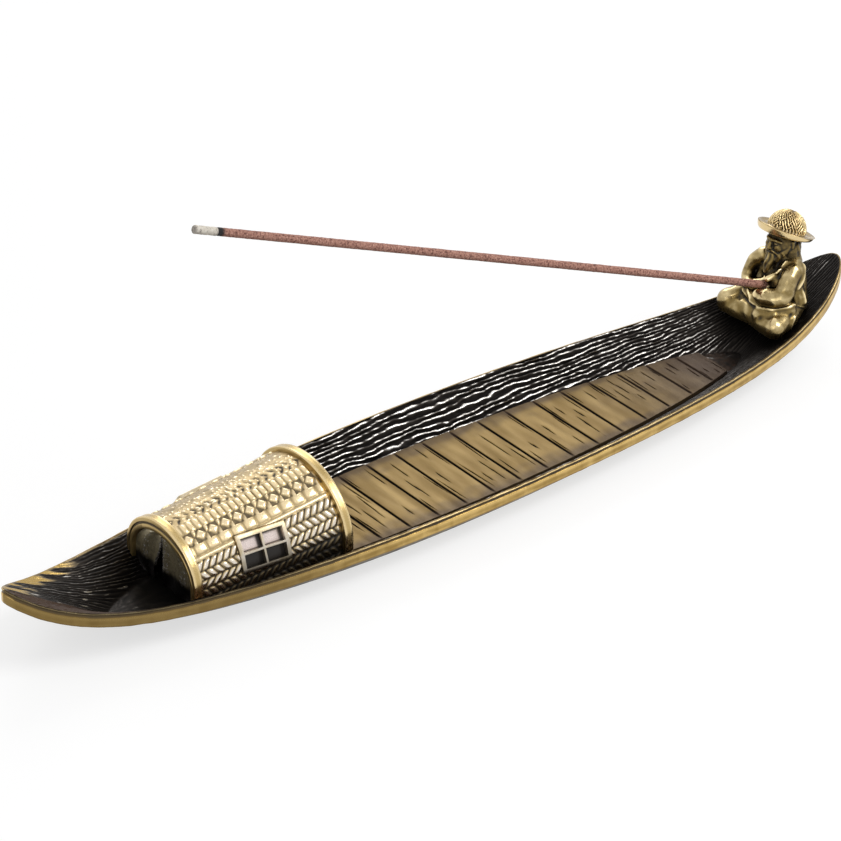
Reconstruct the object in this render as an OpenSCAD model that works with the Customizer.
// Boat-shaped stick incense burner, in millimetres.
// A cast lens-shaped tray carries a planked deck plate, a tapered mat cabin and
// a seated angler. The angler's hands are bored to hold one incense stick, which
// leans over the tray so that the ash drops on the deck.
// +X points to the angler's end, +Z up. The origin is under the middle of the
// tray, on the surface that it stands on.

/* [Tray] */
// Length over the two tips
tray_len = 238; // [200:2:290]
// Beam over the rim at the widest place
tray_beam = 44.8; // [37:0.2:54]
// Distance of the widest place from the middle, towards the cabin end
wide_shift = 9; // [0:0.5:14]
// Height of the rim at the widest place
rim_z = 9.3; // [8:0.1:11.5]
// Extra height of the tip at the cabin end
rise_cabin_end = 10.2; // [6:0.2:12]
// Extra height of the tip at the angler's end
rise_angler_end = 9.9; // [8:0.1:12]
// Bluntness of the cabin end in plan: 1 is an ellipse, more is a sharper lens
blunt_cabin_end = 1.16; // [1:0.02:1.3]
// Bluntness of the angler's end in plan
blunt_angler_end = 1.06; // [1:0.02:1.3]
// Thickness of the tray's floor
floor_t = 2.4; // [2:0.1:3]
// Width of the flat lip on top of the rim
lip_w = 1.1; // [0.8:0.1:1.6]
// Height of the rim from its lip to the lower edge of the bright band
rim_h = 3.3; // [2.8:0.1:4]
// Height of the groove between the lip and the bright band
groove_h = 0.9; // [0.6:0.1:1.2]
// Depth of that groove
groove_d = 0.4; // [0.2:0.1:0.6]
// Distance from the rim to the edge of the floor at the widest place
wall_flare = 8.5; // [7.5:0.1:9]
// Distance from the tip to the end of the floor at the cabin end
cabin_end_run = 26; // [22:1:30]
// Distance from the tip to the end of the floor at the angler's end
angler_end_run = 31; // [28:1:33]

/* [Deck] */
// Thickness of the deck plate
deck_t = 1; // [0.8:0.1:1.4]
// Gap between the deck plate and the foot of the tray's wall
deck_gap = 0.2; // [0.15:0.05:0.4]
// Distance from the deck's free end to the tip at the angler's end
deck_end_run = 39.5; // [38:0.5:46]
// Length of deck plate that runs in under the cabin
deck_tuck = 6.5; // [4:0.5:8]
// Width of one plank
plank_w = 7.94; // [6:0.02:10]
// Width of the last plank, at the deck's free end
end_plank_w = 5.9; // [4:0.1:7.9]
// Width of the joint between two planks
joint_w = 0.3; // [0.2:0.05:0.5]
// Depth of that joint
joint_d = 0.35; // [0.2:0.05:0.5]

/* [Cabin] */
// Distance from the cabin's front to the tip at the cabin end
cabin_run = 39.5; // [37:0.5:44]
// Length of the cabin over its two hoops
cabin_len = 39.5; // [36:0.5:46]
// Half the cabin's width at its narrow front
front_half = 12; // [11:0.1:12.5]
// Half the cabin's width at its wide rear
rear_half = 15.9; // [14.5:0.1:16.5]
// Height of the arch above its springing at the front
front_rise = 10.1; // [9:0.1:12]
// Height of the arch above its springing at the rear
rear_rise = 13.4; // [12:0.1:16.5]
// Height at which the straight sides meet the arch
spring_z = 9.2; // [8.8:0.1:10.5]
// Thickness of the cabin's wall
shell_t = 1.3; // [1:0.1:1.6]
// How far a hoop stands out from the wall
hoop_out = 0.9; // [0.5:0.1:1.3]
// Width of a hoop along the boat
hoop_w = 2.2; // [1.6:0.1:3]
// Gap between a hoop and the end of the wall
hoop_gap = 0.05; // [0.02:0.01:0.1]
// Room left between the cabin's feet and the tray's wall
foot_gap = 0.25; // [0.2:0.05:0.5]

/* [Windows] */
// Width of a window frame
window_w = 12.2; // [10:0.2:14]
// Height of a window frame along its lean
window_h = 8.6; // [7:0.2:9.4]
// Thickness of a window frame
window_t = 1.5; // [1.2:0.1:2]
// Width of the frame's rails
rail_w = 1; // [0.7:0.1:1.4]
// Width of the two bars that cross in the frame
bar_w = 0.6; // [0.4:0.1:1]
// Thickness of the panes behind the bars
pane_t = 0.4; // [0.3:0.1:0.6]
// Gap round a window frame in the cabin's wall
window_gap = 0.1; // [0.05:0.05:0.2]

/* [Curtains] */
// Thickness of a curtain
curtain_t = 0.8; // [0.6:0.1:1.2]
// Height of a curtain's lower edge above the tray's floor
curtain_lift = 1.6; // [1:0.1:2.5]
// Width of the parting at the curtains' lower edge
parting_w = 4.6; // [3:0.2:6]
// Gap between a curtain and the hoop that it hangs in
curtain_gap = 0.15; // [0.1:0.05:0.3]
// Room left between a curtain's lower corners and the tray's wall
curtain_room = 0.9; // [0.6:0.1:1.4]

/* [Angler] */
// Distance from the middle of the seat to the tip
seat_run = 18.5; // [17.5:0.1:19.5]
// Diameter of the seat boss on the tray
seat_d = 6.4; // [6:0.2:8]
// Height of the seat above the wall of the tray at its middle
seat_lift = 2.6; // [2.2:0.1:3]
// Gap between the seat boss and the pocket that drops over it
seat_gap = 0.2; // [0.1:0.05:0.4]
// Room left between the figure and the tray's wall
figure_gap = 0.1; // [0.05:0.05:0.3]
// Height of the middle of the hat's brim above the seat
brim_lift = 19.4; // [18.8:0.1:20]
// Distance of the middle of the brim behind the seat's middle
brim_back = 0.7; // [0:0.1:1.4]
// Distance from the brim down to the middle of the head
head_drop = 3.4; // [3:0.1:3.6]
// Diameter of the head
head_d = 8.2; // [7.6:0.1:8.6]
// Half the distance between the two knees
knee_half = 8.7; // [8:0.1:9.2]
// Distance from the seat's middle forward to the knees
knee_reach = 9.6; // [9:0.1:10.4]

/* [Hat] */
// Diameter of the hat's brim
brim_d = 14.3; // [12:0.1:16]
// Backward lean of the hat in degrees
hat_lean = 25.5; // [15:0.5:32]
// Thickness of the brim's rolled edge
brim_t = 1; // [0.8:0.1:1.3]
// Diameter of the hat's crown
crown_d = 9.4; // [9:0.1:10]
// Height of the hat's crown above the brim
crown_h = 5; // [4.7:0.1:5.6]
// Gap between the head and the inside of the crown
hat_gap = 0.1; // [0.05:0.05:0.2]

/* [Stick] */
// Diameter of the incense stick
stick_d = 1.9; // [1.6:0.1:2.2]
// Length of the unburnt stick, out of the hands
stick_len = 171; // [100:1:210]
// Length of ash at its tip
ash_len = 6.2; // [3:0.2:12]
// Slope of the stick in degrees
stick_tilt = 22.9; // [15:0.1:30]
// Depth of the bore in the hands
socket_len = 8; // [6:0.5:8.5]
// Gap all round the stick in its bore
socket_gap = 0.07; // [0.03:0.01:0.1]
// Height of the bore's mouth above the seat
socket_lift = 6.8; // [6.5:0.1:7.2]
// Distance of the bore's mouth in front of the seat's middle
socket_reach = 5.2; // [5:0.1:5.6]

/* [Screws] */
// Diameter of the cabin screws
cabin_screw_d = 2; // [1.6:0.1:2.2]
// Diameter of the angler's screw
seat_screw_d = 2.5; // [2:0.1:2.6]
// Gap round a screw in its clearance hole
clear_gap = 0.2; // [0.1:0.05:0.3]
// Gap round a screw in its pilot hole
pilot_gap = 0.05; // [0.02:0.01:0.08]
// Distance between the two pairs of cabin screws
screw_pitch = 16; // [14:0.5:18]
// Distance of each cabin screw from the boat's middle line
screw_half = 6.9; // [6.5:0.1:7]

/* [Hidden] */

// The rim is a blunt lens: half beam * sin(a)^power, with a power for each end.
sheer_power = 8;
ring_points = 96;
// How far past the rim the trimming shape goes, as a share of the wall.
trim_reach = 1.6;
eps = 0.01;
far = 60;

// Plan of the tray: ends and half beams, seen from the widest place.
wide_x = -wide_shift;
tip_cabin = tray_len / 2 - wide_shift;
tip_angler = tray_len / 2 + wide_shift;
floor_half = tray_beam / 2 - wall_flare;
base_half = floor_half + 1.5;
base_tuck = 1.5;

// One ring of the tray: [run to the cabin tip, run to the angler tip, half beam, height, share of sheer]
inner_floor = [tip_cabin - cabin_end_run, tip_angler - angler_end_run, floor_half, floor_t, 0];
inner_rim = [tip_cabin - lip_w, tip_angler - lip_w, tray_beam / 2 - lip_w, rim_z, 1];
function rim_ring(inset, drop) =
    [tip_cabin - inset, tip_angler - inset, tray_beam / 2 - inset, rim_z - drop, 1];
base_ring = [inner_floor[0] - base_tuck, inner_floor[1] - base_tuck, base_half, 0, 0];
tray_rings = [
    base_ring,
    rim_ring(1, rim_h),
    rim_ring(0.3, rim_h),
    rim_ring(0, rim_h - 0.4),
    rim_ring(0, groove_h + 0.5),
    rim_ring(groove_d, groove_h),
    rim_ring(groove_d, 0.3),
    rim_ring(0.1, 0),
    inner_rim,
    inner_floor
];

function ring_point(ring, a) =
    let (c = cos(a), s = sin(a), run = c < 0 ? ring[0] : ring[1],
         power = c < 0 ? blunt_cabin_end : blunt_angler_end,
         rise = c < 0 ? rise_cabin_end : rise_angler_end)
    [wide_x + run * c,
     ring[2] * sign(s) * pow(abs(s), power),
     ring[3] + ring[4] * rise * pow(abs(c), sheer_power)];

// Half width of a lens ring at a place x along the boat.
function lens_half(ring, x) =
    let (run = x < wide_x ? ring[0] : ring[1], c = (x - wide_x) / run,
         power = x < wide_x ? blunt_cabin_end : blunt_angler_end)
    ring[2] * pow(max(0, 1 - c * c), power / 2);

// The wall between two rings, a share f of the way up it.
function wall_ring(f) = [for (i = [0:4]) inner_floor[i] + f * (inner_rim[i] - inner_floor[i])];

// The share of the way up the inner wall at which (x, y) lies, by halving.
function wall_share(x, y, lo = 0, hi = 1.2, n = 24) =
    n == 0 ? hi
    : let (mid = (lo + hi) / 2)
      lens_half(wall_ring(mid), x) >= abs(y) && abs(x - wide_x) < wall_ring(mid)[x < wide_x ? 0 : 1]
      ? wall_share(x, y, lo, mid, n - 1)
      : wall_share(x, y, mid, hi, n - 1);

// Height of the inside of the tray at (x, y).
function inside_z(x, y) =
    let (f = wall_share(x, y), ring = wall_ring(f), run = x < wide_x ? ring[0] : ring[1],
         rise = x < wide_x ? rise_cabin_end : rise_angler_end)
    ring[3] + ring[4] * rise * pow(abs(x - wide_x) / run, sheer_power);

// Cabin places.
cabin_x0 = cabin_run - tray_len / 2;
cabin_x1 = cabin_x0 + cabin_len;
shell_x0 = cabin_x0 + hoop_w + hoop_gap;
shell_x1 = cabin_x1 - hoop_w - hoop_gap;
function cabin_half(x) = front_half + (rear_half - front_half) * (x - cabin_x0) / cabin_len;
function cabin_rise(x) = front_rise + (rear_rise - front_rise) * (x - cabin_x0) / cabin_len;
// The cabin's feet stop above the deck, and a little above the tray's wall.
foot_low = floor_t + deck_t + foot_gap;
curtain_foot = inside_z(cabin_x0, cabin_half(cabin_x0)) + foot_gap + curtain_room;

// Window places: a plate that leans with the wall.
window_x = (cabin_x0 + cabin_x1) / 2 - 1.4;
window_half = cabin_half(window_x);
window_rise = cabin_rise(window_x);
window_top_a = 41;
window_low_a = 2;
window_top = [window_half * cos(window_top_a), spring_z + window_rise * sin(window_top_a)];
window_low = [window_half * cos(window_low_a), spring_z + window_rise * sin(window_low_a)];
window_mid = (window_top + window_low) / 2;
window_lean = atan((window_low[0] - window_top[0]) / (window_top[1] - window_low[1]));
wall_taper = atan((rear_half - front_half) / cabin_len);

// Screw places under the cabin.
post_d = cabin_screw_d + 2.6;
post_x = [window_x - screw_pitch / 2 + 1, window_x + screw_pitch / 2 + 1];
post_top = spring_z + 0.4;
web_h = 2;
head_d_cabin = cabin_screw_d * 1.8;
head_h_cabin = 1.1;
recess_cabin = 1.3;
screw_top_cabin = 6.4;
pilot_top = screw_top_cabin + 0.4;

// Seat places.
seat_x = tray_len / 2 - seat_run;
seat_z = inside_z(seat_x, 0) + seat_lift;
seat_screw_head_d = seat_screw_d * 1.8;
seat_screw_head_h = 1.5;
seat_head_z = seat_z - 2.8;
seat_screw_top = seat_z + 2.2;
hat_axis = [sin(hat_lean), 0, cos(hat_lean)];
brim_at = [brim_back, 0, brim_lift];
head_at = brim_at - head_drop * hat_axis;
socket_at = [-socket_reach, 0, socket_lift];

// ---- shared shapes ----

module ring_solid(rings) {
    n = ring_points;
    m = len(rings);
    points = [for (r = rings) for (i = [0:n - 1]) ring_point(r, 360 * i / n)];
    base = [for (i = [0:n - 1]) i];
    top = [for (i = [n - 1:-1:0]) (m - 1) * n + i];
    walls = [for (k = [0:m - 2]) for (i = [0:n - 1])
        let (a = k * n + i, b = k * n + (i + 1) % n)
        each [[a, a + n, b + n], [a, b + n, b]]];
    polyhedron(points, concat([base], walls, [top]));
}

// Everything under the inside of the tray, raised by lift: what stands in the tray is trimmed with it.
module under_wall(lift) {
    beyond = wall_ring(trim_reach);
    translate([0, 0, lift])
        ring_solid([[beyond[0], beyond[1], beyond[2], -1, 0], beyond, inner_floor]);
}

// An arch with straight legs, as a thin slice across the boat at x.
module arch_slice(x, half, rise, foot, thick) {
    translate([x, 0, 0])
        rotate([90, 0, 90])
            linear_extrude(thick)
                union() {
                    intersection() {
                        translate([0, spring_z]) scale([half, rise]) circle(1, $fn = 72);
                        translate([-far, spring_z - eps]) square([2 * far, far]);
                    }
                    translate([-half, foot]) square([2 * half, spring_z - foot]);
                }
}

// A block with the cabin's outline from x0 to x1, grown sideways and up by out.
module cabin_block(x0, x1, out, foot) {
    hull() {
        arch_slice(x0, cabin_half(x0) + out, cabin_rise(x0) + out, foot, eps);
        arch_slice(x1 - eps, cabin_half(x1) + out, cabin_rise(x1) + out, foot, eps);
    }
}

// A hoop with a flat face at each end.
module hoop(x0, inner_out) {
    mid = x0 + hoop_w / 2;
    half = cabin_half(mid) + hoop_out;
    rise = cabin_rise(mid) + hoop_out;
    difference() {
        arch_slice(x0, half, rise, foot_low, hoop_w);
        arch_slice(x0 - 1, half - inner_out[0], rise - inner_out[1], -1, hoop_w + 2);
        under_wall(foot_gap);
    }
}

// A place on the cabin's side for a window plate: outward is local -Y, side is -1 or 1.
module at_window(side) {
    mirror([0, side > 0 ? 1 : 0, 0])
        translate([window_x, -window_mid[0], window_mid[1]])
            rotate([0, 0, -wall_taper])
                rotate([-window_lean, 0, 0])
                    children();
}

module window_plate(w, h, y0, y1) {
    translate([-w / 2, y0, -h / 2]) cube([w, y1 - y0, h]);
}

// A round bar between two balls.
module limb(a, b, ra, rb) {
    hull() {
        translate(a) sphere(ra, $fn = 24);
        translate(b) sphere(rb, $fn = 24);
    }
}

module countersunk(x, y, z0, head_d, head_h, shank_d, z1) {
    translate([x, y, z0]) cylinder(h = head_h, d = head_d, $fn = 40);
    translate([x, y, z0 + head_h - eps]) cylinder(h = z1 - z0 - head_h + eps, d = shank_d, $fn = 40);
}

module at_posts() {
    for (x = post_x)
        for (side = [-1, 1])
            translate([x, side * screw_half, 0]) children();
}

module at_stick() {
    translate([seat_x, 0, seat_z] + socket_at)
        rotate([0, -90 + stick_tilt, 0])
            children();
}

// ---- tray ----

module tray() {
    color("#2b2722")
    difference() {
        union() {
            ring_solid(tray_rings);
            translate([seat_x, 0, seat_head_z - 0.6])
                cylinder(h = seat_z - seat_head_z + 0.6, d = seat_d, $fn = 48);
        }
        at_posts() {
            translate([0, 0, -1]) cylinder(h = floor_t + 2, d = cabin_screw_d + 2 * clear_gap, $fn = 40);
            translate([0, 0, -1]) cylinder(h = recess_cabin + 1, d = head_d_cabin + 2 * clear_gap, $fn = 40);
        }
        translate([seat_x, 0, 0]) cylinder(h = far, d = seat_screw_d + 2 * clear_gap, $fn = 40);
        translate([seat_x, 0, 0]) cylinder(h = seat_head_z, d = seat_screw_head_d + 2 * clear_gap, $fn = 40);
    }
}

// ---- deck ----

deck_x0 = cabin_x1 - deck_tuck;
deck_x1 = tray_len / 2 - deck_end_run;
deck_steps = 40;
function deck_edge(i) =
    let (x = deck_x0 + (deck_x1 - deck_x0) * i / deck_steps)
    [x, lens_half(inner_floor, x) - deck_gap];

module deck_plate() {
    edge = [for (i = [0:deck_steps]) deck_edge(i)];
    other = [for (i = [deck_steps:-1:0]) [edge[i][0], -edge[i][1]]];
    color("#6f6440")
    difference() {
        translate([0, 0, floor_t]) linear_extrude(deck_t) polygon(concat(edge, other));
        for (x = [deck_x1 - end_plank_w:-plank_w:deck_x0 + plank_w / 4])
            translate([x - joint_w / 2, -far / 2, floor_t + deck_t - joint_d]) cube([joint_w, far, 1]);
    }
}

// ---- cabin ----

// A screw post that stands on the tray's floor, with a web to the cabin's wall.
module cabin_post(x) {
    difference() {
        translate([x, screw_half, floor_t])
            cylinder(h = post_top - floor_t, d = post_d, $fn = 40);
        under_wall(0);
    }
    translate([x - shell_t / 2, screw_half, spring_z - web_h])
        cube([shell_t, cabin_half(x) - screw_half - shell_t / 2, web_h]);
}

module cabin_shell() {
    color("#a8956a")
    difference() {
        union() {
            difference() {
                cabin_block(shell_x0, shell_x1, 0, foot_low);
                cabin_block(shell_x0 - 1, shell_x1 + 1, -shell_t, 0);
                under_wall(foot_gap);
                for (side = [-1, 1])
                    at_window(side)
                        window_plate(window_w + 2 * window_gap, window_h + 2 * window_gap, -3, 3);
            }
            for (x = post_x)
                for (side = [-1, 1])
                    mirror([0, side > 0 ? 0 : 1, 0]) cabin_post(x);
        }
        at_posts()
            translate([0, 0, floor_t - 1])
                cylinder(h = pilot_top - floor_t + 1, d = cabin_screw_d + 2 * pilot_gap, $fn = 40);
    }
}

front_band = [2, 3.1];
rear_band = [2.2, 2.2];
module front_hoop() {
    color("#c9a657") hoop(cabin_x0, front_band);
}

module rear_hoop() {
    color("#c9a657") hoop(cabin_x1 - hoop_w, rear_band);
}

frame_out = 2;
module window_frame(side) {
    pane_w = (window_w - 2 * rail_w - bar_w) / 2;
    pane_h = (window_h - 2 * rail_w - bar_w) / 2;
    color("#c9b48a")
    at_window(side)
        difference() {
            window_plate(window_w, window_h, -frame_out, -frame_out + window_t);
            for (i = [-1, 1])
                for (j = [-1, 1])
                    translate([i * (pane_w + bar_w) / 2, 0, j * (pane_h + bar_w) / 2])
                        window_plate(pane_w, pane_h, -far, far);
        }
}

module window_panes(side) {
    color("#cfc4c0")
    at_window(side)
        window_plate(window_w, window_h, -frame_out + window_t, -frame_out + window_t + pane_t);
}

module near_window_frame() window_frame(-1);
module far_window_frame() window_frame(1);
module near_window_panes() window_panes(-1);
module far_window_panes() window_panes(1);

// A curtain hangs inside the front hoop and falls back from the middle.
module curtain(side) {
    x = cabin_x0 + hoop_w - curtain_t;
    mid = cabin_x0 + hoop_w / 2;
    half = cabin_half(mid) + hoop_out - front_band[0] - curtain_gap;
    rise = cabin_rise(mid) + hoop_out - front_band[1] - curtain_gap;
    low = floor_t + curtain_lift;
    skirt = lens_half(wall_ring(curtain_lift / (rim_z - floor_t)), x) - curtain_room;
    color("#5a5340")
    mirror([0, side > 0 ? 1 : 0, 0])
        intersection() {
            arch_slice(x, half, rise, low, curtain_t);
            translate([x - 1, 0, 0])
                rotate([90, 0, 90])
                    linear_extrude(curtain_t + 2)
                        polygon([[-0.15, far], [-0.15, spring_z + rise * 0.8], [-parting_w / 2, low],
                                 [-skirt, low], [-half, curtain_foot], [-half, far]]);
        }
}

module near_curtain() curtain(-1);
module far_curtain() curtain(1);

module cabin_screws() {
    color("#8f8a80")
    at_posts()
        countersunk(0, 0, recess_cabin - head_h_cabin, head_d_cabin, head_h_cabin,
                    cabin_screw_d, screw_top_cabin);
}

// ---- angler ----

shoulder_half = 5.4;
shoulder_z = 10.6;
elbow_half = 7.6;
elbow_z = 4.6;
seat_slope = 17;
knee_z = -0.2;

module angler_body() {
    // torso
    hull() {
        translate([1.4, 0, 3.4]) sphere(4.9, $fn = 32);
        translate([0.6, 0, 8.6]) sphere(4.7, $fn = 32);
        for (side = [-1, 1])
            translate([0.2, side * shoulder_half, shoulder_z]) sphere(2.3, $fn = 24);
    }
    for (side = [-1, 1]) {
        // crossed leg: hip, knee and ankle
        hull() {
            translate([1.5, side * 3.9, 1.6]) sphere(3.2, $fn = 24);
            translate([-knee_reach, side * knee_half, knee_z]) sphere(2.7, $fn = 24);
            translate([-knee_reach + 2, side * 1.2, -0.6]) sphere(2.2, $fn = 24);
        }
        // upper arm, then the forearm to the hands
        limb([0, side * (shoulder_half + 0.4), shoulder_z], [-2.4, side * elbow_half, elbow_z], 2.3, 2.2);
        limb([-2.4, side * elbow_half, elbow_z], socket_at + [2.4, side * 1.4, -1], 2.2, 1.8);
    }
    // the two fists round the bore, neck and head
    translate(socket_at + [2.1, 0, -0.9]) sphere(2.6, $fn = 40);
    translate([0, 0, shoulder_z]) cylinder(h = head_at[2] - shoulder_z, d = 4.6, $fn = 40);
    translate(head_at) sphere(d = head_d, $fn = 48);
}

module angler() {
    color("#8a7748")
    difference() {
        union() {
            difference() {
                translate([seat_x, 0, seat_z]) angler_body();
                // the underside follows the rising wall of the tray
                translate([seat_x - knee_reach, 0, inside_z(seat_x - knee_reach, knee_half) + 0.35])
                    rotate([0, -seat_slope, 0])
                        translate([-far / 2, -far / 2, -far]) cube([far, far, far]);
                under_wall(figure_gap);
                // a pocket that drops over the seat boss
                translate([seat_x, 0, 0]) cylinder(h = seat_z, d = seat_d + 2 * seat_gap, $fn = 48);
            }
            translate([seat_x, 0, seat_z]) cylinder(h = 3, d = seat_d, $fn = 48);
        }
        translate([seat_x, 0, seat_z - 1])
            cylinder(h = seat_screw_top - seat_z + 1.2, d = seat_screw_d + 2 * pilot_gap, $fn = 40);
        at_stick()
            translate([0, 0, -socket_len])
                cylinder(h = far, d = stick_d + 2 * socket_gap, $fn = 40);
    }
}

// The crown is cast nearly solid: only the head's own cap is hollowed out of it.
module straw_hat() {
    edge = brim_d / 2 - brim_t / 2;
    color("#a08b52")
    translate([seat_x, 0, seat_z] + brim_at)
        rotate([0, hat_lean, 0])
            rotate_extrude($fn = 64)
                difference() {
                    union() {
                        intersection() {
                            translate([0, crown_h - crown_d / 2]) circle(d = crown_d, $fn = 96);
                            square(crown_d);
                        }
                        translate([0, -brim_t / 2]) square([edge, brim_t]);
                        translate([edge, 0]) circle(d = brim_t, $fn = 32);
                    }
                    translate([0, -head_drop]) circle(head_d / 2 + hat_gap, $fn = 96);
                    translate([-crown_d, -crown_d]) square([crown_d, 2 * crown_d]);
                }
}

module angler_screw() {
    color("#8f8a80")
    countersunk(seat_x, 0, seat_head_z - seat_screw_head_h, seat_screw_head_d, seat_screw_head_h,
                seat_screw_d, seat_screw_top);
}

// ---- stick ----

module incense_stick() {
    color("#8a5f52")
    at_stick()
        translate([0, 0, -socket_len + 0.05])
            cylinder(h = stick_len + socket_len - 0.05, d = stick_d, $fn = 40);
}

module ash_tip() {
    color("#e4ddcf")
    at_stick()
        translate([0, 0, stick_len])
            cylinder(h = ash_len, d = stick_d, $fn = 40);
}

tray();
deck_plate();
cabin_shell();
front_hoop();
rear_hoop();
near_window_frame();
far_window_frame();
near_window_panes();
far_window_panes();
near_curtain();
far_curtain();
cabin_screws();
angler();
straw_hat();
angler_screw();
incense_stick();
ash_tip();
